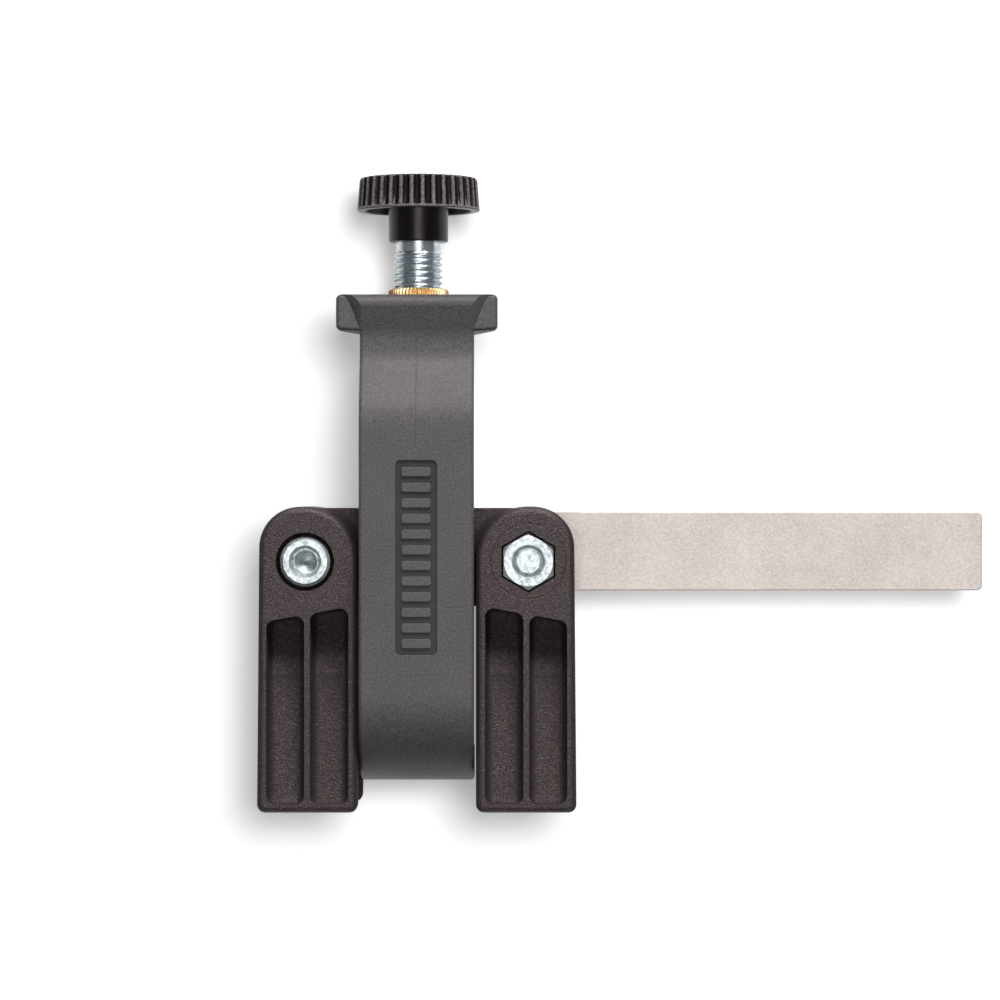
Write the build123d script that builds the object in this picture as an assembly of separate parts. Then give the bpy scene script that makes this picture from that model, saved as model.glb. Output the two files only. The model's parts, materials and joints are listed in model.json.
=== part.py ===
"""Small-knife holder for a sharpening jig: a plastic clamshell on a metal tongue, with a screw-driven hook."""
import math
import os

from build123d import *

os.makedirs("parts", exist_ok=True)

# ---------------------------------------------------------------- driving dimensions, mm
# The part lies on its back: x along the tongue, y from the hook towards the knob, z up from the bench.
# Design coordinates have x = 0 on the clamp screw's axis and y = 0 on the line through the two body screws.
SHIFT_X = -41.5
SHIFT_Y = -13.85
MID_Z = 16.0

# body halves, drawn about their joint plane
HALF_DEPTH = 16.0
LEG_OUTER_TOP = 31.5
LEG_OUTER_BOTTOM = 32.0
LEG_INNER = 11.85
LEG_TOP = 11.0
LEG_BOTTOM = -50.3
OUTER_CORNER_R = 8.2
BOSS_R = 10.5
FOOT_CORNER_R = 1.7
RIM_R = 1.3
BRIDGE_TOP = 10.7
BRIDGE_BOTTOM = -9.0
BRIDGE_DEPTH = 10.0
BRIDGE_BLEND_R = 2.6
VEE = ((-9.0, 4.0), (-27.0, 8.5), (-50.3, 11.5))
POCKET_WALL = 2.2
POCKET_DRAFT = 1.5
POCKET_CORNER_R = 1.7
POCKET_FLOOR_R = 1.3
POCKET_BEND_R = 30.0
POCKET_BOTTOM = -48.5
INNER_POCKET = (13.65, -9.0, 21.35, -10.45)
OUTER_POCKET = (22.5, -10.55, 30.1, -12.0)

# body screws and nuts, M6
BOLT_X = 22.35
BOLT_R = 3.0
BOLT_LENGTH = 25.0
BOLT_HOLE_R = 3.2
HEAD_R = 5.0
HEAD_HEIGHT = 6.0
HEAD_POCKET_R = 5.85
HEAD_SEAT = 9.5
SOCKET_AF = 5.0
SOCKET_DEPTH = 3.2
NUT_AF = 10.0
NUT_HEIGHT = 5.0
NUT_BORE_R = 3.05
NUT_SEAT = 10.5
NUT_POCKET_AF = 10.75

# tongue
TONGUE_START = -28.2
TONGUE_END = 115.0
TONGUE_BOTTOM = -6.1
TONGUE_TOP = 9.9
TONGUE_THICK = 4.0
TONGUE_FACE_START = 33.0
TONGUE_ROOT_RELIEF = 0.05
TONGUE_END_R = 1.0
TONGUE_ROOT_R = 5.5
TONGUE_SLOT_GAP = 0.1
NOTCH_HALF = 4.8
NOTCH_BOTTOM = 4.9

# clamp screw, M10 fine
SCREW_R = 5.0
SCREW_NECK_R = 3.0
SHANK_R = 4.6
SCREW_BUTTON_R = 4.0
BUTTON_BOTTOM = 5.0
BUTTON_TOP = 8.0
NECK_TOP = 12.2
THREAD_TOP = 62.4
HUB_BOTTOM = 65.0
STUB_R = 3.5
STUB_BORE_R = 3.52
STUB_TOP = 74.5
CATCH_R = 4.3
CATCH_LIP_R = 3.08
CATCH_ROOF = 8.3

# knob
KNOB_TOP = 78.0
KNOB_RIM_BOTTOM = 71.3
KNOB_R = 12.5
KNOB_TOP_R = 12.0
KNOB_TOP_CHAMFER = 0.4
KNOB_LIP = 0.6
KNOB_RIBS = 34
KNOB_GROOVE_R = 0.85
KNOB_GROOVE_OUT = 0.25
KNOB_HOLLOW_R = 10.4
KNOB_PLATE_BOTTOM = 75.2
HUB_R = 6.1

# threaded insert
INSERT_R = 6.2
INSERT_BORE_R = 5.06
INSERT_TOP = 55.4
INSERT_BOTTOM = 42.8

# clamp frame
ARM_HALF = 11.45
ARM_EDGE_R = 0.7
ARM_FRONT = 20.5
ARM_BACK = 12.0
ARM_BACK_HIGH = 7.5
FRAME_TOP = 53.5
LIP_FRONT = 17.8
WAIST_Y = 42.8
WAIST_FRONT = 13.8
BULGE_Y = 29.7
FRAME_BOTTOM = -44.6
BEND_R = 18.2
HOOK_TOP = -38.5
HOOK_TIP = -8.0
HOOK_INNER_R = 4.0
HEAD_HALF = 16.2
EAR_BOTTOM = 46.4
EAR_ROOT = 46.1
EAR_FRONT = 15.2
EAR_BACK = 12.4
EAR_CORNER_R = 1.0
EAR_EDGE_R = 0.8
FLANK = ((-0.6, 0.0), (-0.15, -0.08), (0.3, -0.35), (0.8, -0.85), (1.5, -1.5), (2.4, -2.2), (3.6, -2.75))
FLANK_DEPTH = 4.0
HEAD_REAR = -9.5
HEAD_REAR_HALF = 9.0
HEAD_REAR_R = 7.0
BOSS_BOTTOM = 42.8
INSERT_BOSS_R = 8.6
PANEL_HALF = 4.1
PANEL_TOP = 20.2
PANEL_BOTTOM = -18.5
PANEL_R = 1.0
PANEL_DEPTH = 0.5
PANEL_EDGE_R = 0.15
PANEL_RIBS = 12
PANEL_RIB_HALF = 2.95
PANEL_RIB_WIDTH = 1.9
PANEL_MARGIN = 1.3


def place(solid):
    """Move a solid from design coordinates about the joint plane to the part's own frame."""
    return Pos(SHIFT_X, SHIFT_Y, MID_Z) * solid


def save(solid, name):
    """Write one node."""
    solid.label = name
    export_step(solid, "parts/" + name + ".step")
    box = solid.bounding_box()
    print(name, len(solid.solids()), round(solid.volume, 1), box.min, box.max)


def polygon(points, plane):
    """A flat face from a closed list of points."""
    return plane * make_face(Polyline(*points, close=True))


def rounded(points, radii, plane):
    """A flat face from a closed list of points, each corner rounded by the matching radius."""
    flat = Sketch() + make_face(Polyline(*points, close=True))
    for point, radius in zip(points, radii):
        if radius > 0:
            corner = flat.vertices().sort_by_distance(Vector(point[0], point[1], 0))[0]
            flat = fillet(corner, radius)
    return plane * flat


def rod(radius, start, end, x=0.0):
    """A cylinder along y, on the joint plane."""
    cylinder = Cylinder(radius, end - start, rotation=(90, 0, 0))
    return Pos(x, (start + end) / 2, 0) * cylinder


def stud(radius, low, high, x, y=0.0):
    """A cylinder along z."""
    return Pos(x, y, (low + high) / 2) * Cylinder(radius, high - low)


def hexagon(across_flats, low, high, x):
    """A hexagonal prism along z with a corner pointing along y."""
    flat = RegularPolygon(across_flats / math.sqrt(3), 6, rotation=30)
    return Pos(x, 0, low) * extrude(flat, high - low)


def vee_depth(y):
    """Distance of the handle channel's wall from the joint plane at height y."""
    for (high_y, high_z), (low_y, low_z) in zip(VEE, VEE[1:]):
        if y >= low_y:
            return high_z + (low_z - high_z) * (high_y - y) / (high_y - low_y)
    return VEE[-1][1]


def tongue_outline(gap, end):
    """The tongue's outline with its rounded root, grown by a gap."""
    points = [
        (TONGUE_START - gap, TONGUE_BOTTOM - gap),
        (end, TONGUE_BOTTOM - gap),
        (end, TONGUE_TOP + gap),
        (TONGUE_START - gap, TONGUE_TOP + gap),
    ]
    radii = [TONGUE_ROOT_R, TONGUE_END_R, TONGUE_END_R, TONGUE_ROOT_R]
    return rounded(points, radii, Plane.XY)


# ---------------------------------------------------------------- body half
def leg(side):
    """One leg with its screw boss, its front rim rounded."""
    points = [
        (side * LEG_OUTER_BOTTOM, LEG_BOTTOM),
        (side * LEG_OUTER_TOP, LEG_TOP),
        (side * LEG_INNER, LEG_TOP),
        (side * LEG_INNER, LEG_BOTTOM),
    ]
    radii = [FOOT_CORNER_R, OUTER_CORNER_R, BOSS_R, FOOT_CORNER_R]
    block = extrude(rounded(points, radii, Plane.XY), HALF_DEPTH)
    rim = block.faces().sort_by(Axis.Z)[-1].edges()
    return fillet(rim, RIM_R)


def pocket(side, corners):
    """One moulding pocket: drafted walls, a slanted top and a floor that follows the handle channel."""
    near, near_top, far, far_top = corners
    points = [
        (side * near, POCKET_BOTTOM),
        (side * near, near_top),
        (side * far, far_top),
        (side * far, POCKET_BOTTOM),
    ]
    mouth = rounded(points, [POCKET_CORNER_R] * 4, Plane.XY.offset(HALF_DEPTH))
    drawn = extrude(mouth, 12.0, dir=(0, 0, -1), taper=POCKET_DRAFT)
    floor_points = [
        (-5.0, vee_depth(-9.0) + POCKET_WALL),
        (VEE[0][0], VEE[0][1] + POCKET_WALL),
        (VEE[1][0], VEE[1][1] + POCKET_WALL),
        (VEE[2][0], VEE[2][1] + POCKET_WALL),
        (VEE[2][0], HALF_DEPTH + 5.0),
        (-5.0, HALF_DEPTH + 5.0),
    ]
    keep = extrude(rounded(floor_points, [0, 0, POCKET_BEND_R, 0, 0, 0], Plane.YZ), 40.0, both=True)
    hollow = drawn & keep
    floor = [edge for edge in hollow.edges() if edge.center().Z < HALF_DEPTH - 1.0]
    low = []
    for edge in floor:
        middle = edge.center()
        if middle.Z < vee_depth(middle.Y) + POCKET_WALL + 0.3 and middle.Y < -9.5:
            low.append(edge)
    try:
        hollow = fillet(low, POCKET_FLOOR_R)
    except Exception as error:
        print("pocket floor left sharp:", error)
    return hollow


def make_half(slot_side):
    """One clamshell half, drawn above its joint plane, its tongue slot open towards slot_side."""
    half = leg(1) + leg(-1)
    points = [(-BOLT_X, BRIDGE_BOTTOM), (BOLT_X, BRIDGE_BOTTOM), (BOLT_X, BRIDGE_TOP), (-BOLT_X, BRIDGE_TOP)]
    bridge = extrude(polygon(points, Plane.XY), BRIDGE_DEPTH)
    half = half + bridge
    seams = []
    for edge in half.edges():
        middle = edge.center()
        flush = abs(middle.Z - BRIDGE_DEPTH) < 0.01
        if flush and abs(abs(middle.X) - LEG_INNER) < 3.0 and middle.Y < BRIDGE_TOP - 0.2:
            seams.append(edge)
    try:
        half = fillet(seams, BRIDGE_BLEND_R)
    except Exception as error:
        print("bridge blend left sharp:", error)
    channel_points = [(VEE[0][0], -1.0)] + list(VEE) + [(LEG_BOTTOM - 5.0, VEE[2][1] + 0.6), (LEG_BOTTOM - 5.0, -1.0)]
    channel = extrude(polygon(channel_points, Plane.YZ), 40.0, both=True)
    half = half - channel
    for side in (1, -1):
        half = half - pocket(side, INNER_POCKET)
        half = half - pocket(side, OUTER_POCKET)
        half = half - stud(BOLT_HOLE_R, -1.0, HALF_DEPTH + 1.0, side * BOLT_X)
    half = half - stud(HEAD_POCKET_R, HEAD_SEAT, HALF_DEPTH + 1.0, -BOLT_X)
    half = half - hexagon(NUT_POCKET_AF, NUT_SEAT, HALF_DEPTH + 1.0, BOLT_X)
    slot = extrude(tongue_outline(TONGUE_SLOT_GAP, 40.0), TONGUE_THICK / 2 + TONGUE_SLOT_GAP, both=True)
    half = half - (slot if slot_side > 0 else mirror(slot, Plane.YZ))
    half = half - rod(CATCH_R, BUTTON_BOTTOM - 0.2, CATCH_ROOF)
    half = half - rod(CATCH_LIP_R, CATCH_ROOF - 0.5, BRIDGE_TOP + 1.0)
    return half


# ---------------------------------------------------------------- metal parts of the body
def make_tongue():
    """The flat bar that a jig's jaws hold."""
    face = tongue_outline(0.0, TONGUE_END)
    bar = Pos(0, 0, -TONGUE_THICK / 2) * extrude(face, TONGUE_THICK)
    long_rims = [edge for edge in bar.edges().filter_by(Axis.X) if edge.length > 100.0]
    bar = fillet(long_rims, 0.25)
    root_length = TONGUE_FACE_START - TONGUE_START + 1.0
    for side in (1, -1):
        bar = bar - stud(BOLT_HOLE_R, -5.0, 5.0, side * BOLT_X)
        relief = Box(root_length, 30.0, 2.0)
        relief_z = side * (TONGUE_THICK / 2 - TONGUE_ROOT_RELIEF + 1.0)
        bar = bar - Pos(TONGUE_FACE_START - root_length / 2, 0, relief_z) * relief
    notch_height = TONGUE_TOP + 2.0 - NOTCH_BOTTOM
    notch = Box(2 * NOTCH_HALF, notch_height, TONGUE_THICK + 2.0)
    bar = bar - Pos(0, NOTCH_BOTTOM + notch_height / 2, 0) * notch
    return bar


def make_cap_screw(x):
    """Socket cap screw, its head facing up."""
    profile = [
        (0, HEAD_SEAT - BOLT_LENGTH),
        (BOLT_R - 0.7, HEAD_SEAT - BOLT_LENGTH),
        (BOLT_R, HEAD_SEAT - BOLT_LENGTH + 0.7),
        (BOLT_R, HEAD_SEAT),
        (HEAD_R, HEAD_SEAT),
        (HEAD_R, HEAD_SEAT + HEAD_HEIGHT - 0.6),
        (HEAD_R - 0.6, HEAD_SEAT + HEAD_HEIGHT),
        (0, HEAD_SEAT + HEAD_HEIGHT),
    ]
    screw = revolve(polygon(profile, Plane.XZ), Axis.Z)
    top = HEAD_SEAT + HEAD_HEIGHT
    flat = RegularPolygon(SOCKET_AF / math.sqrt(3), 6, rotation=30)
    socket = Pos(0, 0, top - SOCKET_DEPTH) * extrude(flat, SOCKET_DEPTH + 1.0)
    mouth = Pos(0, 0, top - 0.35) * Cone(2.55, 3.25, 0.7)
    point = Pos(0, 0, top - SOCKET_DEPTH - 0.5) * Cone(0.05, 2.3, 1.0)
    screw = screw - socket - mouth - point
    return Pos(x, 0, 0) * screw


def make_nut(x):
    """Hexagon nut with both faces chamfered, seated from above."""
    body = hexagon(NUT_AF, NUT_SEAT, NUT_SEAT + NUT_HEIGHT, 0)
    corner = NUT_AF / math.sqrt(3)
    profile = [
        (0, NUT_SEAT),
        (NUT_AF / 2 - 0.1, NUT_SEAT),
        (corner + 0.1, NUT_SEAT + 0.5),
        (corner + 0.1, NUT_SEAT + NUT_HEIGHT - 0.5),
        (NUT_AF / 2 - 0.1, NUT_SEAT + NUT_HEIGHT),
        (0, NUT_SEAT + NUT_HEIGHT),
    ]
    body = body & revolve(polygon(profile, Plane.XZ), Axis.Z)
    body = body - stud(NUT_BORE_R, NUT_SEAT - 1.0, NUT_SEAT + NUT_HEIGHT + 1.0, 0)
    for level, tilt in ((NUT_SEAT, 1), (NUT_SEAT + NUT_HEIGHT, -1)):
        low_r = NUT_BORE_R + 0.4 if tilt > 0 else NUT_BORE_R - 0.1
        high_r = NUT_BORE_R - 0.1 if tilt > 0 else NUT_BORE_R + 0.4
        body = body - Pos(0, 0, level + tilt * 0.2) * Cone(low_r, high_r, 0.5)
    return Pos(x, 0, 0) * body


# ---------------------------------------------------------------- clamp screw, insert, knob
def make_clamp_screw():
    """Screw with a plain thread envelope, a captured tip and a stub for the knob."""
    profile = [
        (0, BUTTON_BOTTOM),
        (SCREW_BUTTON_R - 1.0, BUTTON_BOTTOM),
        (SCREW_BUTTON_R, BUTTON_BOTTOM + 1.0),
        (SCREW_BUTTON_R, BUTTON_TOP),
        (SCREW_NECK_R, BUTTON_TOP),
        (SCREW_NECK_R, NECK_TOP),
        (SCREW_R, NECK_TOP + 2.0),
        (SCREW_R, THREAD_TOP),
        (SHANK_R, THREAD_TOP + 0.6),
        (SHANK_R, HUB_BOTTOM),
        (STUB_R, HUB_BOTTOM),
        (STUB_R, STUB_TOP - 0.6),
        (STUB_R - 0.6, STUB_TOP),
        (0, STUB_TOP),
    ]
    return revolve(polygon(profile, Plane.XY), Axis.Y)


def make_insert():
    """Knurled brass bush, moulded into the frame's head."""
    profile = [
        (INSERT_BORE_R, INSERT_BOTTOM),
        (INSERT_R - 0.5, INSERT_BOTTOM),
        (INSERT_R, INSERT_BOTTOM + 0.5),
        (INSERT_R, INSERT_TOP - 0.25),
        (INSERT_R - 0.25, INSERT_TOP),
        (INSERT_BORE_R + 0.5, INSERT_TOP),
        (INSERT_BORE_R, INSERT_TOP - 0.5),
    ]
    return revolve(polygon(profile, Plane.XY), Axis.Y)


def make_knob():
    """Ribbed cup knob with a hub."""
    outer = [
        (STUB_BORE_R, HUB_BOTTOM),
        (HUB_R - 0.7, HUB_BOTTOM),
        (HUB_R, HUB_BOTTOM + 0.7),
        (HUB_R, KNOB_PLATE_BOTTOM),
        (KNOB_HOLLOW_R, KNOB_PLATE_BOTTOM),
        (KNOB_HOLLOW_R, KNOB_RIM_BOTTOM),
        (KNOB_R - 0.3, KNOB_RIM_BOTTOM),
        (KNOB_R, KNOB_RIM_BOTTOM + 0.3),
        (KNOB_R, KNOB_RIM_BOTTOM + KNOB_LIP),
        (KNOB_TOP_R, KNOB_TOP - KNOB_TOP_CHAMFER),
        (KNOB_TOP_R - KNOB_TOP_CHAMFER, KNOB_TOP),
        (0, KNOB_TOP),
        (0, STUB_TOP + 0.02),
        (STUB_BORE_R, STUB_TOP + 0.02),
    ]
    knob = revolve(polygon(outer, Plane.XY), Axis.Y)
    step = 360.0 / KNOB_RIBS
    groove_y = KNOB_RIM_BOTTOM + KNOB_LIP
    groove_height = KNOB_TOP + 1.0 - groove_y
    lean = math.degrees(math.atan((KNOB_R - KNOB_TOP_R) / (KNOB_TOP - KNOB_TOP_CHAMFER - groove_y)))
    cutter = Cylinder(KNOB_GROOVE_R, groove_height + 2.0, rotation=(90, 0, 0))
    cutter = Pos(0, (groove_height + 2.0) / 2, 0) * cutter
    for index in range(KNOB_RIBS):
        lean_cut = Pos(KNOB_R + KNOB_GROOVE_OUT, groove_y, 0) * Rot(0, 0, lean) * cutter
        knob = knob - Rot(0, (index + 0.5) * step, 0) * lean_cut
    return knob


# ---------------------------------------------------------------- clamp frame
def make_frame():
    """C-shaped frame: a flanged head, a front arm and a hook under the handle."""
    points = [
        (FRAME_TOP, HEAD_REAR + 1.0),
        (FRAME_TOP, LIP_FRONT),
        (WAIST_Y, WAIST_FRONT),
        (BULGE_Y, ARM_FRONT),
        (FRAME_BOTTOM, ARM_FRONT),
        (FRAME_BOTTOM, HOOK_TIP),
        (HOOK_TOP + 1.2, HOOK_TIP),
        (HOOK_TOP, HOOK_TIP + 3.0),
        (HOOK_TOP, ARM_BACK),
        (33.0, ARM_BACK),
        (40.0, ARM_BACK_HIGH),
        (EAR_ROOT, ARM_BACK_HIGH),
        (EAR_ROOT, HEAD_REAR + 1.0),
    ]
    radii = [0, 1.8, 9.0, 14.0, BEND_R, 1.5, 1.0, 4.0, HOOK_INNER_R, 8.0, 6.0, 1.2, 0]
    side_view = rounded(points, radii, Plane.YZ)
    arm = extrude(side_view, ARM_HALF, both=True)
    rims = [edge for edge in arm.edges() if abs(abs(edge.center().X) - ARM_HALF) < 0.01]
    frame = fillet(rims, ARM_EDGE_R) + make_head()
    reach = extrude(side_view, HEAD_HALF - 1.0, both=True)
    side = flank() & reach & extrude(head_outline(), 60.0)
    frame = frame + side + mirror(side, Plane.YZ)
    frame = frame + rod(INSERT_BOSS_R, BOSS_BOTTOM, EAR_ROOT + 1.0)
    frame = frame - rod(INSERT_R, BOSS_BOTTOM - 1.0, FRAME_TOP + 1.0)
    frame = frame - panel()
    return fillet(panel_rims(frame), PANEL_EDGE_R)


def head_outline():
    """The head seen from the front."""
    points = [
        (-HEAD_HALF, FRAME_TOP),
        (HEAD_HALF, FRAME_TOP),
        (HEAD_HALF, EAR_BOTTOM),
        (ARM_HALF - 1.0, EAR_ROOT),
        (-ARM_HALF + 1.0, EAR_ROOT),
        (-HEAD_HALF, EAR_BOTTOM),
    ]
    radii = [EAR_CORNER_R, EAR_CORNER_R, EAR_CORNER_R, 0, 0, EAR_CORNER_R]
    return rounded(points, radii, Plane.XY.offset(HEAD_REAR))


def make_head():
    """The frame's flanged head: two ears set back behind the arm, drawn in towards the rear round the insert."""
    head = extrude(head_outline(), EAR_FRONT - HEAD_REAR)
    spread = (HEAD_HALF - HEAD_REAR_HALF) / (EAR_BACK - HEAD_REAR)
    front = EAR_FRONT + 5.0
    wide = HEAD_HALF + spread * (front - EAR_BACK)
    plan = [
        (-HEAD_REAR_HALF, HEAD_REAR),
        (-wide, front),
        (wide, front),
        (HEAD_REAR_HALF, HEAD_REAR),
    ]
    plan_face = rounded(plan, [HEAD_REAR_R, 0, 0, HEAD_REAR_R], Plane.XZ)
    head = head & extrude(plan_face, 80.0, both=True)
    return fillet(head.faces().sort_by(Axis.Z)[-1].edges(), EAR_EDGE_R)


def flank():
    """Slope from the arm's front down to an ear: rolls over, then flattens out as it meets the ear."""
    rise = (LIP_FRONT - WAIST_FRONT) / (FRAME_TOP - WAIST_Y)
    start = EAR_ROOT + 0.5
    level = WAIST_FRONT + rise * (start - WAIST_Y)
    curve = Spline(*[(ARM_HALF + out, start, level + down) for out, down in FLANK])
    far = FLANK[-1][0]
    rest = Polyline(
        (ARM_HALF + far, start, level + FLANK[-1][1]),
        (ARM_HALF + far, start, level - FLANK_DEPTH),
        (ARM_HALF - 2.0, start, level - FLANK_DEPTH),
        (ARM_HALF - 2.0, start, level),
        (ARM_HALF + FLANK[0][0], start, level),
    )
    face = make_face(curve + rest)
    along = Vector(0, 1, rise)
    return extrude(face, (FRAME_TOP + 1.0 - start) * along.length, dir=along.normalized())


def panel():
    """The recessed field on the arm, less its plain grip ribs."""
    points = [
        (-PANEL_HALF, PANEL_BOTTOM),
        (PANEL_HALF, PANEL_BOTTOM),
        (PANEL_HALF, PANEL_TOP),
        (-PANEL_HALF, PANEL_TOP),
    ]
    face = rounded(points, [PANEL_R] * 4, Plane.XY.offset(ARM_FRONT - PANEL_DEPTH))
    field = extrude(face, 2.0)
    first = PANEL_BOTTOM + PANEL_MARGIN + PANEL_RIB_WIDTH / 2
    last = PANEL_TOP - PANEL_MARGIN - PANEL_RIB_WIDTH / 2
    for index in range(PANEL_RIBS):
        y = first + (last - first) * index / (PANEL_RIBS - 1)
        rib = Box(2 * PANEL_RIB_HALF, PANEL_RIB_WIDTH, 4.0)
        rib = fillet(rib.edges().filter_by(Axis.Z), 0.5)
        field = field - Pos(0, y, ARM_FRONT) * rib
    return field


def panel_rims(solid):
    """Edges of the recessed field and of its ribs, level with the arm's front."""
    found = []
    for edge in solid.edges():
        middle = edge.center()
        level = abs(middle.Z - ARM_FRONT) < 0.01 and abs(middle.X) < PANEL_HALF + 0.01
        if level and PANEL_BOTTOM - 0.01 < middle.Y < PANEL_TOP + 0.01:
            found.append(edge)
    return found


# ---------------------------------------------------------------- write the nodes
FLIP = Rot(0, 180, 0)

save(place(make_half(1)), "body_half_front")
save(place(FLIP * make_half(-1)), "body_half_rear")
save(place(make_tongue()), "tongue")
save(place(make_cap_screw(-BOLT_X)), "cap_screw_left")
save(place(FLIP * make_cap_screw(-BOLT_X)), "cap_screw_right")
save(place(FLIP * make_nut(BOLT_X)), "nut_left")
save(place(make_nut(BOLT_X)), "nut_right")
save(place(make_clamp_screw()), "clamp_screw")
save(place(make_knob()), "knob")
save(place(make_insert()), "threaded_insert")
save(place(make_frame()), "clamp_frame")
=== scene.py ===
"""Looks for the honing guide: materials, turned and knurled details, light and camera."""
import json
import math

import bmesh
import bpy
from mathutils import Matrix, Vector


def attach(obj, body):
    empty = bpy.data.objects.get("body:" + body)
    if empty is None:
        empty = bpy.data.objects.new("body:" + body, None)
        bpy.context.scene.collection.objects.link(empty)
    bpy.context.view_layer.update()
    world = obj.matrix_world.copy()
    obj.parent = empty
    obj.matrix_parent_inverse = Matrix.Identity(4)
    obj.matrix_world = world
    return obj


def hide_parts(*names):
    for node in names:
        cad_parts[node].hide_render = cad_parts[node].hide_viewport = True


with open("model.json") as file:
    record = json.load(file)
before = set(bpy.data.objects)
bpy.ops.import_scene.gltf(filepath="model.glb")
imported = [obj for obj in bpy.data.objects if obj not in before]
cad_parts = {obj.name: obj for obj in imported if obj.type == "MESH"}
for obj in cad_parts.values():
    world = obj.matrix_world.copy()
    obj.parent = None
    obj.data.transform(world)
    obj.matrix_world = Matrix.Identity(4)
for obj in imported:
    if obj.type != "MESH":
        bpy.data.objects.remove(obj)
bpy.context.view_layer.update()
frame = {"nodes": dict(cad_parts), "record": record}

MM = 0.001

# Places in the part's frame, in mm.
AXIS_X = -41.5        # the clamp screw's axis
AXIS_Z = 16.0
SHIFT_Y = -13.85      # y of the body screws, from which the heights of turned pieces are counted
BOLT_X = 22.35        # body screws beside the axis
HALF_DEPTH = 16.0     # front and rear faces of the body from the middle plane
WITNESS_R = 7.5
PANEL_LEVEL = 36.0    # floor of the arm's recessed field, z
PANEL_HALF = 4.1
PANEL_LOW = -32.35
PANEL_HIGH = 6.35
LINE_START = 9.5      # lower end of the arm's mould line, y
POCKET_MIDDLES = (17.5, 26.3)
POCKET_HALF = 4.0
POCKET_WALL = 1.9     # where a pocket's wall begins beside its middle
# Painted shade: pocket floors nearer the middle plane than this level are darkened most.
POCKET_SHADE_LEVEL = 8.8     # level up to which a pocket is darkest
POCKET_LOW = -62.35
POCKET_HIGH = -22.85
BEND_Y = -40.85       # where the handle channel's slope changes, and its level there
BEND_LEVEL = 8.5
FOOT_Y = -64.15       # the lower end of the legs, and the channel's level there
FOOT_LEVEL = 11.5
GRIP_BOTTOM = 58.3    # y of the knob's ribs
GRIP_TAPER = 0.075
GRIP_CREST = 12.16    # radius beyond which a rib counts as crest


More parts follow.
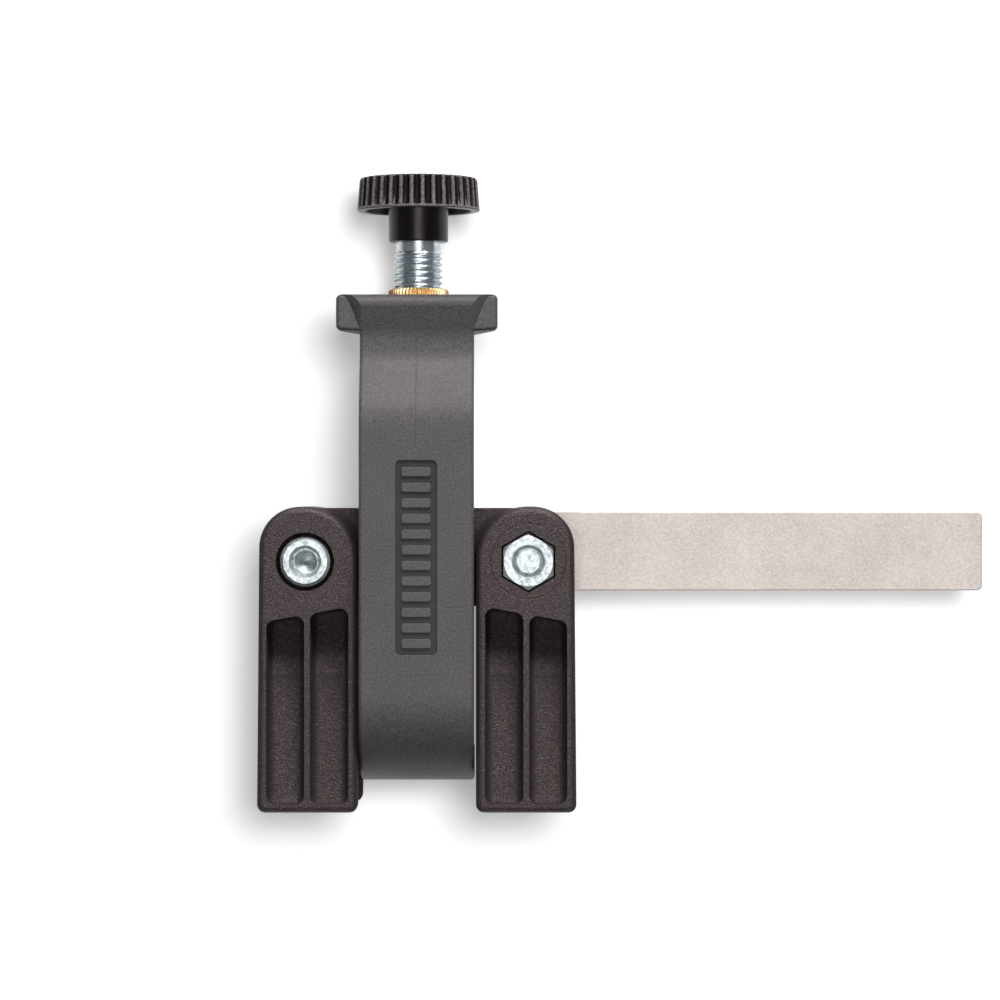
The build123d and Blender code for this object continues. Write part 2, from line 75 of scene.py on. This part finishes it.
# ---------------------------------------------------------------- node helpers
class Nodes:
    """A material's node tree with short calls for the nodes used here."""

    def __init__(self, name):
        self.material = bpy.data.materials.new(name)
        self.material.use_nodes = True
        self.tree = self.material.node_tree
        self.shader = self.tree.nodes["Principled BSDF"]
        coordinates = self.tree.nodes.new("ShaderNodeTexCoord")
        self.place = coordinates.outputs["Object"]
        self.facing = coordinates.outputs["Normal"]

    def link(self, source, target):
        self.tree.links.new(source, target)

    def noise(self, scale, detail=2.0, roughness=0.5, place=None, distortion=0.0):
        node = self.tree.nodes.new("ShaderNodeTexNoise")
        node.inputs["Scale"].default_value = scale
        node.inputs["Detail"].default_value = detail
        node.inputs["Roughness"].default_value = roughness
        node.inputs["Distortion"].default_value = distortion
        self.link(place or self.place, node.inputs["Vector"])
        return node.outputs["Fac"]

    def cells(self, scale):
        node = self.tree.nodes.new("ShaderNodeTexVoronoi")
        node.feature = "F1"
        node.inputs["Scale"].default_value = scale
        self.link(self.place, node.inputs["Vector"])
        return node.outputs["Distance"]

    def stretched(self, scale):
        node = self.tree.nodes.new("ShaderNodeMapping")
        node.inputs["Scale"].default_value = scale
        self.link(self.place, node.inputs["Vector"])
        return node.outputs["Vector"]

    def ramp(self, source, stops):
        node = self.tree.nodes.new("ShaderNodeValToRGB")
        elements = node.color_ramp.elements
        while len(elements) < len(stops):
            elements.new(0.5)
        for element, (position, colour) in zip(elements, stops):
            element.position = position
            element.color = (*colour, 1.0)
        self.link(source, node.inputs["Fac"])
        return node.outputs["Color"]

    def remap(self, source, low, high, to_low, to_high):
        node = self.tree.nodes.new("ShaderNodeMapRange")
        node.inputs["From Min"].default_value = low
        node.inputs["From Max"].default_value = high
        node.inputs["To Min"].default_value = to_low
        node.inputs["To Max"].default_value = to_high
        self.link(source, node.inputs["Value"])
        return node.outputs["Result"]

    def after(self, source, low, high):
        """0 up to the first place and 1 past the second, both in mm."""
        return self.remap(source, low * MM, high * MM, 0.0, 1.0)

    def before(self, source, low, high):
        """1 up to the first place and 0 past the second, both in mm."""
        return self.remap(source, low * MM, high * MM, 1.0, 0.0)

    def math(self, operation, first, second=None):
        node = self.tree.nodes.new("ShaderNodeMath")
        node.operation = operation
        for socket, value in zip(node.inputs, (first, second)):
            if isinstance(value, (int, float)):
                socket.default_value = value
            elif value is not None:
                self.link(value, socket)
        return node.outputs["Value"]

    def times(self, first, second):
        return self.math("MULTIPLY", first, second)

    def plus(self, first, second):
        return self.math("ADD", first, second)

    def distance(self, source, place):
        """How far a coordinate is from a place in mm, in metres and without its sign."""
        return self.math("ABSOLUTE", self.math("SUBTRACT", source, place * MM))

    def radius(self, first, second):
        """Length of a flat vector with these two parts."""
        squares = self.plus(self.math("POWER", first, 2.0), self.math("POWER", second, 2.0))
        return self.math("SQRT", squares)

    def axes(self, place=None):
        node = self.tree.nodes.new("ShaderNodeSeparateXYZ")
        self.link(place or self.place, node.inputs["Vector"])
        return node.outputs["X"], node.outputs["Y"], node.outputs["Z"]

    def mix(self, factor, first, second):
        node = self.tree.nodes.new("ShaderNodeMix")
        node.data_type = "RGBA"
        self.link(factor, node.inputs["Factor"])
        a, b = node.inputs[6], node.inputs[7]
        for socket, value in ((a, first), (b, second)):
            if isinstance(value, tuple):
                socket.default_value = (*value, 1.0)
            else:
                self.link(value, socket)
        return node.outputs[2]

    def bump(self, height, distance, strength):
        node = self.tree.nodes.new("ShaderNodeBump")
        node.inputs["Distance"].default_value = distance
        node.inputs["Strength"].default_value = strength
        self.link(height, node.inputs["Height"])
        return node.outputs["Normal"]

    def witness_ring(self):
        """1 on the faint ring that the tool's insert leaves around each nut pocket."""
        x, y, z = self.axes()
        side = self.remap(z, (AXIS_Z - 0.5) * MM, (AXIS_Z + 0.5) * MM, -1.0, 1.0)
        centre_x = self.plus(self.times(side, BOLT_X * MM), AXIS_X * MM)
        across = self.math("SUBTRACT", x, centre_x)
        along = self.math("SUBTRACT", y, SHIFT_Y * MM)
        off = self.distance(self.radius(across, along), WITNESS_R)
        outside = self.after(self.distance(z, AXIS_Z), HALF_DEPTH - 0.4, HALF_DEPTH - 0.2)
        return self.times(self.before(off, 0.06, 0.16), outside)

    def pockets(self, x, y, level):
        """1 in the pockets and 1 on their walls, only at levels beyond the channel's lower slope."""
        away = self.distance(x, AXIS_X)
        inner, outer = [self.distance(away, middle) for middle in POCKET_MIDDLES]
        aside = self.math("MINIMUM", inner, outer)
        channel = self.remap(y, FOOT_Y * MM, BEND_Y * MM, FOOT_LEVEL * MM, BEND_LEVEL * MM)
        over_channel = self.after(self.math("SUBTRACT", level, channel), 1.0, 1.2)
        below_faces = self.before(level, HALF_DEPTH - 0.8, HALF_DEPTH - 0.3)
        above_low = self.after(y, POCKET_LOW - 0.05, POCKET_LOW + 0.05)
        below_high = self.before(y, POCKET_HIGH + 0.05, POCKET_HIGH + 0.25)
        inside = self.times(below_faces, over_channel)
        inside = self.times(inside, self.times(above_low, below_high))
        inside = self.times(inside, self.before(aside, POCKET_HALF, POCKET_HALF + 0.2))
        wall = self.times(self.after(aside, POCKET_WALL, POCKET_WALL + 1.2), inside)
        return inside, wall

    def recess(self, away, y, z):
        """1 on the floor of the recessed field on the arm."""
        low = self.before(z, PANEL_LEVEL + 0.1, PANEL_LEVEL + 0.3)
        high = self.after(z, PANEL_LEVEL - 1.0, PANEL_LEVEL - 0.6)
        beside = self.before(away, PANEL_HALF - 0.02, PANEL_HALF + 0.02)
        above = self.after(y, PANEL_LOW - 0.05, PANEL_LOW + 0.05)
        below = self.before(y, PANEL_HIGH - 0.05, PANEL_HIGH + 0.05)
        return self.times(self.times(self.times(low, high), beside), self.times(above, below))

    def finish(self, colour, roughness, normal, **sockets):
        for name, value in sockets.items():
            self.shader.inputs[name.replace("_", " ")].default_value = value
        self.link(colour, self.shader.inputs["Base Color"])
        self.link(roughness, self.shader.inputs["Roughness"])
        self.link(normal, self.shader.inputs["Normal"])
        return self.material


# ---------------------------------------------------------------- materials
def body_plastic():
    """Black-brown, pitted nylon: coarser below its faces, with painted shade darkening the deep upper parts
    of the pockets, the pocket walls and the surfaces that face sideways.
    """
    n = Nodes("body_plastic")
    grain = n.noise(2600.0, 4.0, 0.72)
    pits = n.cells(2500.0)
    patch = n.noise(180.0, 3.0, 0.6)
    witness = n.witness_ring()
    x, y, z = n.axes()
    level = n.distance(z, AXIS_Z)
    coarse = n.remap(level, (HALF_DEPTH - 1.4) * MM, (HALF_DEPTH - 0.6) * MM, 2.2, 1.0)
    inside, wall = n.pockets(x, y, level)
    # Painted shade: the deep upper part of each pocket and its walls are darkened, standing in for the
    # shadow there.
    painted_shade = n.times(n.before(level, POCKET_SHADE_LEVEL, POCKET_SHADE_LEVEL + 2.5), inside)
    painted_shade = n.math("MAXIMUM", painted_shade, n.times(wall, 0.95))
    # Painted shade: surfaces facing sideways are darkened too, standing in for the shade on the body's
    # sides.
    sideways = n.math("ABSOLUTE", n.axes(n.facing)[0])
    painted_shade = n.math("MAXIMUM", painted_shade, n.remap(sideways, 0.12, 0.55, 0.0, 0.88))
    height = n.plus(n.times(grain, 0.9), n.times(pits, 0.5))
    height = n.times(height, coarse)
    height = n.math("SUBTRACT", height, n.times(witness, 0.4))
    face_tint = n.ramp(grain, [
        (0.36, (0.0030, 0.0014, 0.0016)),
        (0.52, (0.0175, 0.0110, 0.0115)),
        (0.66, (0.082, 0.062, 0.063)),
    ])
    pocket_tint = n.ramp(grain, [
        (0.36, (0.0040, 0.0020, 0.0022)),
        (0.52, (0.0260, 0.0172, 0.0178)),
        (0.68, (0.115, 0.088, 0.090)),
    ])
    tint = n.mix(inside, face_tint, pocket_tint)
    colour = n.mix(n.times(witness, 0.35), tint, (0.008, 0.005, 0.005))
    # The painted shade is laid over the colour here, towards near black; it also makes those places rougher.
    colour = n.mix(n.times(painted_shade, 0.92), colour, (0.0014, 0.0006, 0.0006))
    rough = n.plus(n.remap(patch, 0.3, 0.7, 0.38, 0.46), n.times(painted_shade, 0.42))
    normal = n.bump(height, 0.00015, 0.95)
    return n.finish(colour, rough, normal, Specular_IOR_Level=0.62, Specular_Tint=(1.0, 0.84, 0.85, 1.0))


def frame_plastic():
    """Grey satin plastic: fine grain, a mould line down the upper arm, a darker recessed field."""
    n = Nodes("frame_plastic")
    grain = n.noise(2300.0, 2.0, 0.6)
    patch = n.noise(90.0, 3.0, 0.55)
    x, y, z = n.axes()
    away = n.distance(x, AXIS_X)
    line = n.times(n.before(away, 0.05, 0.14), n.after(y, LINE_START, LINE_START + 1.5))
    field = n.recess(away, y, z)
    tint = n.ramp(grain, [
        (0.32, (0.043, 0.0398, 0.0408)),
        (0.50, (0.063, 0.0581, 0.0595)),
        (0.70, (0.087, 0.0810, 0.0828)),
    ])
    colour = n.mix(n.times(line, 0.22), tint, (0.13, 0.12, 0.124))
    colour = n.mix(n.times(field, 0.85), colour, (0.0055, 0.0046, 0.0049))
    height = n.plus(n.times(grain, 0.7), n.times(line, 1.6))
    rough = n.remap(patch, 0.3, 0.7, 0.50, 0.58)
    normal = n.bump(height, 0.00005, 0.7)
    return n.finish(colour, rough, normal, Specular_IOR_Level=0.38, Specular_Tint=(1.0, 0.95, 0.97, 1.0))


def knob_plastic():
    """Black moulded plastic: semi-gloss, with a painted highlight lightening the crests of the grip's ribs,
    which are also duller and bumpier.
    """
    n = Nodes("knob_plastic")
    grain = n.noise(2400.0, 3.0, 0.7)
    patch = n.noise(260.0, 3.0, 0.6)
    x, y, z = n.axes()
    across = n.math("SUBTRACT", x, AXIS_X * MM)
    through = n.math("SUBTRACT", z, AXIS_Z * MM)
    reach = n.radius(across, through)
    rise = n.math("SUBTRACT", y, GRIP_BOTTOM * MM)
    reach = n.plus(reach, n.times(rise, GRIP_TAPER))
    crest = n.after(reach, GRIP_CREST, GRIP_CREST + 0.24)
    grip = n.times(crest, n.after(rise, -1.0, -0.6))
    # Painted highlight: the rib crests are lightened towards grey, speckled by the grain.
    crest_highlight = n.times(grip, n.remap(grain, 0.36, 0.60, 0.15, 1.0))
    black = n.ramp(grain, [(0.3, (0.0022, 0.0012, 0.0013)), (0.7, (0.0060, 0.0036, 0.0038))])
    colour = n.mix(crest_highlight, black, (0.175, 0.152, 0.152))
    rough = n.plus(n.remap(patch, 0.3, 0.7, 0.27, 0.36), n.times(grip, 0.22))
    height = n.times(grain, n.plus(n.times(grip, 4.0), 0.6))
    normal = n.bump(height, 0.000022, 0.7)
    return n.finish(colour, rough, normal, Specular_IOR_Level=0.30, Specular_Tint=(1.0, 0.88, 0.9, 1.0))


def blasted_metal():
    """Bead-blasted light alloy: warm pale grey, a dense fine speckle with a few darker dimples."""
    n = Nodes("blasted_metal")
    fine = n.noise(2700.0, 3.0, 0.7)
    dimple = n.cells(1900.0)
    cloud = n.noise(70.0, 4.0, 0.6)
    tone = n.plus(n.times(fine, 0.75), n.times(cloud, 0.25))
    colour = n.ramp(tone, [
        (0.32, (0.43, 0.386, 0.360)),
        (0.50, (0.585, 0.535, 0.503)),
        (0.68, (0.73, 0.68, 0.645)),
    ])
    height = n.plus(n.times(fine, 0.6), n.times(dimple, 0.7))
    rough = n.remap(fine, 0.3, 0.7, 0.58, 0.70)
    normal = n.bump(height, 0.00005, 0.5)
    return n.finish(colour, rough, normal, Metallic=0.8)


def zinc_steel():
    """Bright zinc plating with a blue cast, faint turning marks and cloudy passivation."""
    n = Nodes("zinc_steel")
    cloud = n.noise(900.0, 4.0, 0.65, distortion=0.4)
    marks = n.noise(1.0, 2.0, 0.5, place=n.stretched((900.0, 9000.0, 900.0)))
    speck = n.noise(4200.0, 2.0, 0.6)
    colour = n.ramp(cloud, [
        (0.30, (0.36, 0.410, 0.45)),
        (0.50, (0.56, 0.610, 0.64)),
        (0.72, (0.76, 0.79, 0.80)),
    ])
    rough = n.remap(cloud, 0.3, 0.7, 0.36, 0.24)
    height = n.plus(n.times(marks, 0.5), n.times(speck, 0.6))
    normal = n.bump(height, 0.000016, 0.55)
    return n.finish(colour, rough, normal, Metallic=1.0)


def zinc_fastener():
    """Duller zinc plating of the body screws and nuts: mottled, with tumbling scratches."""
    n = Nodes("zinc_fastener")
    cloud = n.noise(1100.0, 4.0, 0.7, distortion=0.6)
    speck = n.noise(3600.0, 3.0, 0.65)
    scratch = n.noise(1.0, 3.0, 0.6, place=n.stretched((700.0, 5200.0, 700.0)))
    tone = n.plus(n.times(cloud, 0.65), n.times(speck, 0.35))
    colour = n.ramp(tone, [
        (0.34, (0.17, 0.20, 0.213)),
        (0.50, (0.43, 0.470, 0.480)),
        (0.66, (0.70, 0.73, 0.73)),
    ])
    rough = n.remap(cloud, 0.3, 0.7, 0.46, 0.34)
    height = n.plus(n.times(scratch, 0.6), n.times(speck, 0.8))
    normal = n.bump(height, 0.000030, 0.7)
    return n.finish(colour, rough, normal, Metallic=0.62)


def brass():
    """Machined brass with a cloudy tone and a speckled roughness."""
    n = Nodes("brass_knurled")
    cloud = n.noise(700.0, 3.0, 0.6)
    speck = n.noise(3500.0, 2.0, 0.6)
    colour = n.ramp(cloud, [
        (0.30, (0.50, 0.32, 0.15)),
        (0.55, (0.68, 0.47, 0.245)),
        (0.75, (0.80, 0.60, 0.36)),
    ])
    rough = n.remap(speck, 0.3, 0.7, 0.32, 0.44)
    normal = n.bump(speck, 0.000015, 0.5)
    return n.finish(colour, rough, normal, Metallic=1.0)


def light_table():
    """White opal sheet of a light table, faintly mottled."""
    n = Nodes("light_table")
    tooth = n.noise(900.0, 3.0, 0.6)
    colour = n.ramp(tooth, [(0.3, (0.86, 0.86, 0.865)), (0.7, (0.88, 0.88, 0.885))])
    rough = n.remap(tooth, 0.3, 0.7, 0.7, 0.8)
    normal = n.bump(tooth, 0.00002, 0.2)
    return n.finish(colour, rough, normal, Emission_Color=(1.0, 1.0, 1.0, 1.0), Emission_Strength=0.33)


# ---------------------------------------------------------------- mesh helpers
def spin_point(radius, y, angle):
    """A point on a circle about the clamp screw's axis, from design height y."""
    return (
        (AXIS_X + radius * math.sin(angle)) * MM,
        (y + SHIFT_Y) * MM,
        (AXIS_Z + radius * math.cos(angle)) * MM,
    )


def mesh_object(name, points, faces, smooth_angle):
    mesh = bpy.data.meshes.new(name)
    mesh.from_pydata(points, [], faces)
    work = bmesh.new()
    work.from_mesh(mesh)
    bmesh.ops.remove_doubles(work, verts=work.verts, dist=1e-7)
    bmesh.ops.dissolve_degenerate(work, dist=1e-8, edges=work.edges)
    bmesh.ops.recalc_face_normals(work, faces=work.faces)
    work.to_mesh(mesh)
    work.free()
    mesh.shade_smooth()
    piece = bpy.data.objects.new(name, mesh)
    bpy.context.scene.collection.objects.link(piece)
    mark_sharp(piece, smooth_angle)
    return piece


def mark_sharp(piece, degrees):
    """Smooth shading with edges over the given angle kept sharp."""
    work = bmesh.new()
    work.from_mesh(piece.data)
    for edge in work.edges:
        sharp = len(edge.link_faces) != 2 or edge.calc_face_angle(0.0) > math.radians(degrees)
        edge.smooth = not sharp
    work.to_mesh(piece.data)
    work.free()


def turned(rows, closed_start, closed_end):
    """Faces over rings of equal length, with caps at the ends."""
    points = [point for ring in rows for point in ring]
    count = len(rows[0])
    faces = []
    for index in range(len(rows) - 1):
        low = index * count
        high = low + count
        for step in range(count):
            after = (step + 1) % count
            faces.append((low + step, low + after, high + after, high + step))
    if closed_start:
        faces.append(tuple(reversed(range(count))))
    if closed_end:
        faces.append(tuple(range(len(points) - count, len(points))))
    return points, faces


def ring(radius, y, count, shape=None):
    """One ring of points about the screw's axis; shape(angle) changes the radius."""
    points = []
    for step in range(count):
        angle = 2 * math.pi * step / count
        reach = radius if shape is None else radius + shape(angle)
        points.append(spin_point(reach, y, angle))
    return points


# ---------------------------------------------------------------- clamp screw with its thread
PITCH = 1.25
CREST_R = 4.99
ROOT_R = 4.40
THREAD_LOW = 15.0
THREAD_HIGH = 63.0
SHANK_R = 4.6
SHANK_HIGH = 65.0
BUTTON_LOW = 5.0
BUTTON_HIGH = 8.0
BUTTON_R = 4.0
NECK_R = 3.0
NECK_HIGH = 12.2
STUB_R = 3.5
STUB_HIGH = 74.5
CAP_R = 0.4           # the flat that closes each end
STEPS = 96
CREST_END = 0.14      # shares of one pitch
ROOT_START = 0.46
ROOT_END = 0.68
RUN_OUT = 0.9


def thread_radius(phase):
    """Radius over one pitch: flat crest, flank, flat root, flank."""
    phase = phase % 1.0
    if phase < CREST_END:
        return CREST_R
    if phase < ROOT_START:
        return CREST_R + (ROOT_R - CREST_R) * (phase - CREST_END) / (ROOT_START - CREST_END)
    if phase < ROOT_END:
        return ROOT_R
    return ROOT_R + (CREST_R - ROOT_R) * (phase - ROOT_END) / (1.0 - ROOT_END)


def screw_thread():
    """A right-handed helical surface whose edges follow the crest and the root, run out at both ends."""
    offsets = (0.0, CREST_END, 0.30, ROOT_START, 0.57, ROOT_END, 0.84)
    turns = int((THREAD_HIGH - THREAD_LOW) / PITCH) + 2
    columns = []
    for step in range(STEPS):
        angle = 2 * math.pi * step / STEPS
        column = []
        for turn in range(-1, turns + 1):
            for offset in offsets:
                y = THREAD_LOW + (turn + offset + step / STEPS) * PITCH
                held = min(max(y, THREAD_LOW), THREAD_HIGH)
                depth = CREST_R - thread_radius(offset)
                fade = min(1.0, (held - THREAD_LOW) / RUN_OUT)
                limit = SHANK_R + (CREST_R - SHANK_R) * min(1.0, (THREAD_HIGH - held) / RUN_OUT)
                column.append(spin_point(min(CREST_R - depth * fade, limit), held, angle))
        columns.append(column)
    height = len(columns[0])
    per_turn = len(offsets)
    points = [point for column in columns for point in column]
    faces = []
    for step in range(STEPS):
        after = (step + 1) % STEPS
        lift = per_turn if after == 0 else 0
        for level in range(height - 1):
            other = level + lift
            if other + 1 >= height:
                continue
            here = step * height + level
            there = after * height + other
            faces.append((here, there, there + 1, here + 1))
    return points, faces


def clamp_screw():
    """The whole screw: captured tip, neck, thread, plain shank and stub."""
    lower = [(CAP_R, BUTTON_LOW), (3.0, BUTTON_LOW), (3.85, 5.45), (BUTTON_R, 6.0), (BUTTON_R, 7.9)]
    lower += [(3.9, BUTTON_HIGH), (3.05, BUTTON_HIGH), (NECK_R, 8.05), (NECK_R, NECK_HIGH)]
    lower += [(CREST_R - 0.5, 13.9), (CREST_R, 14.5), (CREST_R, THREAD_LOW)]
    upper = [(SHANK_R, THREAD_HIGH), (SHANK_R, SHANK_HIGH), (STUB_R, SHANK_HIGH)]
    upper += [(STUB_R, 73.9), (2.9, STUB_HIGH), (CAP_R, STUB_HIGH)]
    points, faces = turned([ring(r, y, STEPS) for r, y in lower], True, False)
    for part in (screw_thread(), turned([ring(r, y, STEPS) for r, y in upper], False, True)):
        start = len(points)
        points = points + part[0]
        faces = faces + [tuple(start + index for index in face) for face in part[1]]
    return mesh_object("clamp_screw_threaded", points, faces, 26.0)


# ---------------------------------------------------------------- knurled insert
TEETH = 50
TOOTH_DEPTH = 0.42
INSERT_R = 6.2
INSERT_BORE_R = 5.03
INSERT_LOW = 42.8
INSERT_HIGH = 55.4


def knurl(angle):
    """Straight knurl: narrow rounded teeth."""
    wave = 0.5 + 0.5 * math.cos(TEETH * angle)
    return -TOOTH_DEPTH * (1.0 - wave ** 0.8)


def threaded_insert():
    """Bush with a plain bore, a knurled outside and chamfered ends."""
    count = TEETH * 8
    rows = [
        ring(INSERT_BORE_R, INSERT_LOW, count),
        ring(5.45, INSERT_LOW, count),
        ring(5.70, 43.0, count),
        ring(INSERT_R, 43.5, count, knurl),
        ring(INSERT_R, 55.00, count, knurl),
        ring(INSERT_R - 0.28, 55.26, count, lambda angle: 0.45 * knurl(angle)),
        ring(5.75, INSERT_HIGH, count),
        ring(5.55, INSERT_HIGH, count),
        ring(INSERT_BORE_R, 54.9, count),
    ]
    points, faces = turned(rows, False, False)
    last = len(points) - count
    for step in range(count):
        after = (step + 1) % count
        faces.append((last + step, last + after, after, step))
    return mesh_object("threaded_insert_knurled", points, faces, 40.0)


# ---------------------------------------------------------------- knob with rounded ribs
RIBS = 34
RIB_DEPTH = 0.70
STUB_BORE_R = 3.52
HUB_LOW = 65.0
HUB_R = 6.1
HOLLOW_TOP = 75.2
LIP_LOW = 71.3
KNOB_R = 12.5
KNOB_TOP = 78.0
DISH_TOP = 77.85


def rib(angle):
    """Rounded ribs and grooves of equal width."""
    wave = math.cos(RIBS * (angle - math.pi / 2))
    return -0.5 * RIB_DEPTH * (1.0 - math.copysign(abs(wave) ** 0.8, wave))


def knob():
    """Cup knob: hub, hollow underside, smooth lip, ribbed grip and a top with a shallow dish."""
    count = RIBS * 12
    under = [(STUB_BORE_R, 74.4), (STUB_BORE_R, HUB_LOW), (5.75, HUB_LOW), (5.98, 65.1), (6.07, 65.35)]
    under += [(HUB_R, 74.5), (6.3, 75.0), (6.8, HOLLOW_TOP), (10.0, HOLLOW_TOP), (10.3, 75.1)]
    under += [(10.42, 74.8), (10.75, 71.5), (10.95, LIP_LOW), (12.15, LIP_LOW), (12.4, 71.38)]
    under += [(KNOB_R, 71.58), (KNOB_R, 71.8), (12.46, 71.88)]
    rows = [ring(radius, y, count) for radius, y in under]
    grip = [(12.45, 71.96, 0.7), (12.43, 72.15, 1.0), (12.23, 74.8, 1.0), (12.04, 77.35, 1.0)]
    grip += [(12.0, 77.65, 0.95), (11.86, 77.88, 0.8), (11.62, KNOB_TOP, 0.5)]
    for radius, y, share in grip:
        rows.append(ring(radius, y, count, lambda angle, share=share: share * rib(angle)))
    top = [(11.2, KNOB_TOP), (9.2, KNOB_TOP), (8.9, DISH_TOP), (0.5, DISH_TOP)]
    rows += [ring(radius, y, count) for radius, y in top]
    points, faces = turned(rows, True, True)
    return mesh_object("knob_ribbed", points, faces, 34.0)


# ---------------------------------------------------------------- build
FINISH = {
    "body_plastic": body_plastic(),
    "frame_plastic": frame_plastic(),
    "knob_plastic": knob_plastic(),
    "blasted_metal": blasted_metal(),
    "zinc_steel": zinc_steel(),
    "zinc_fastener": zinc_fastener(),
    "brass": brass(),
}


def dress(piece, slot):
    """Give a piece its one material."""
    piece.data.materials.clear()
    piece.data.materials.append(FINISH[slot])
    for face in piece.data.polygons:
        face.material_index = 0


for entry in frame["record"]["subparts"]:
    fastener = entry["node"].startswith(("cap_screw", "nut"))
    dress(frame["nodes"][entry["node"]], "zinc_fastener" if fastener else entry["material_slot"])

screw = clamp_screw()
dress(screw, "zinc_steel")
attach(screw, "clamp_screw_unit")
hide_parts("clamp_screw")

grip = knob()
dress(grip, "knob_plastic")
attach(grip, "clamp_screw_unit")
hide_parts("knob")

insert = threaded_insert()
dress(insert, "brass")
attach(insert, "frame_unit")
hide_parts("threaded_insert")


# ---------------------------------------------------------------- floor, light, camera
FLOOR_HALF = 3.0      # metres
FLOOR_DROP = 0.0001
LIGHT_AIM = Vector((-0.02, 0.0, 0.0))
CAMERA_PLACE = (-0.02483, -0.00152, 0.734)
FOCAL_LENGTH = 126.4


def floor():
    """The light table under the part."""
    work = bmesh.new()
    bmesh.ops.create_grid(work, x_segments=24, y_segments=24, size=FLOOR_HALF)
    mesh = bpy.data.meshes.new("floor")
    work.to_mesh(mesh)
    work.free()
    piece = bpy.data.objects.new("floor", mesh)
    piece.location = (0.0, 0.0, -FLOOR_DROP)
    bpy.context.scene.collection.objects.link(piece)
    mesh.materials.append(light_table())
    return piece


def area_light(name, tilt, swing, distance, size_x, size_y, radiance):
    """A panel aimed at the part, by degrees from overhead and degrees from +Y towards +X."""
    tilt = math.radians(tilt)
    swing = math.radians(swing)
    level = math.sin(tilt)
    away = Vector((level * math.sin(swing), level * math.cos(swing), math.cos(tilt)))
    light = bpy.data.lights.new(name, "AREA")
    light.shape = "RECTANGLE"
    light.size = size_x
    light.size_y = size_y
    light.energy = radiance * math.pi * size_x * size_y
    lamp = bpy.data.objects.new(name, light)
    lamp.location = LIGHT_AIM + distance * away
    lamp.rotation_euler = (-away).to_track_quat("-Z", "Y").to_euler()
    bpy.context.scene.collection.objects.link(lamp)
    return lamp


def shine_on(lamp, piece, state):
    """Let a light fall only on one object, or on all but that one."""
    group = bpy.data.collections.new(lamp.name + "_group")
    group.objects.link(piece)
    lamp.light_linking.receiver_collection = group
    group.collection_objects[0].light_linking.link_state = state


def studio(table):
    """Dim surroundings, lights that fall on the part alone, and one that falls on the table alone."""
    scene = bpy.context.scene
    world = bpy.data.worlds.new("studio")
    world.use_nodes = True
    shade = world.node_tree.nodes["Background"]
    shade.inputs["Color"].default_value = (0.96, 0.98, 1.0, 1.0)
    shade.inputs["Strength"].default_value = 0.11
    scene.world = world
    key = area_light("key_softbox", 52.0, 12.0, 0.95, 0.60, 0.30, 22.4)
    shine_on(key, table, "EXCLUDE")
    overhead = area_light("overhead_strip", 6.0, 180.0, 1.00, 0.42, 0.44, 5.8)
    shine_on(overhead, table, "EXCLUDE")
    area_light("near_strip", 48.0, 180.0, 1.10, 0.50, 0.60, 0.22)
    area_light("right_panel", 54.0, 90.0, 1.10, 0.60, 0.70, 0.13)
    area_light("left_panel", 54.0, -90.0, 1.10, 0.60, 0.70, 0.13)
    bench = area_light("bench_softbox", 13.0, 45.0, 1.60, 0.54, 0.54, 22.5)
    shine_on(bench, table, "INCLUDE")
    scene.view_settings.view_transform = "Standard"
    scene.view_settings.look = "None"


def camera():
    """A long lens looking straight down."""
    lens = bpy.data.cameras.new("camera")
    lens.lens = FOCAL_LENGTH
    lens.sensor_width = 36.0
    lens.clip_start = 0.01
    viewer = bpy.data.objects.new("camera", lens)
    viewer.location = CAMERA_PLACE
    bpy.context.scene.collection.objects.link(viewer)
    bpy.context.scene.camera = viewer


studio(floor())
camera()
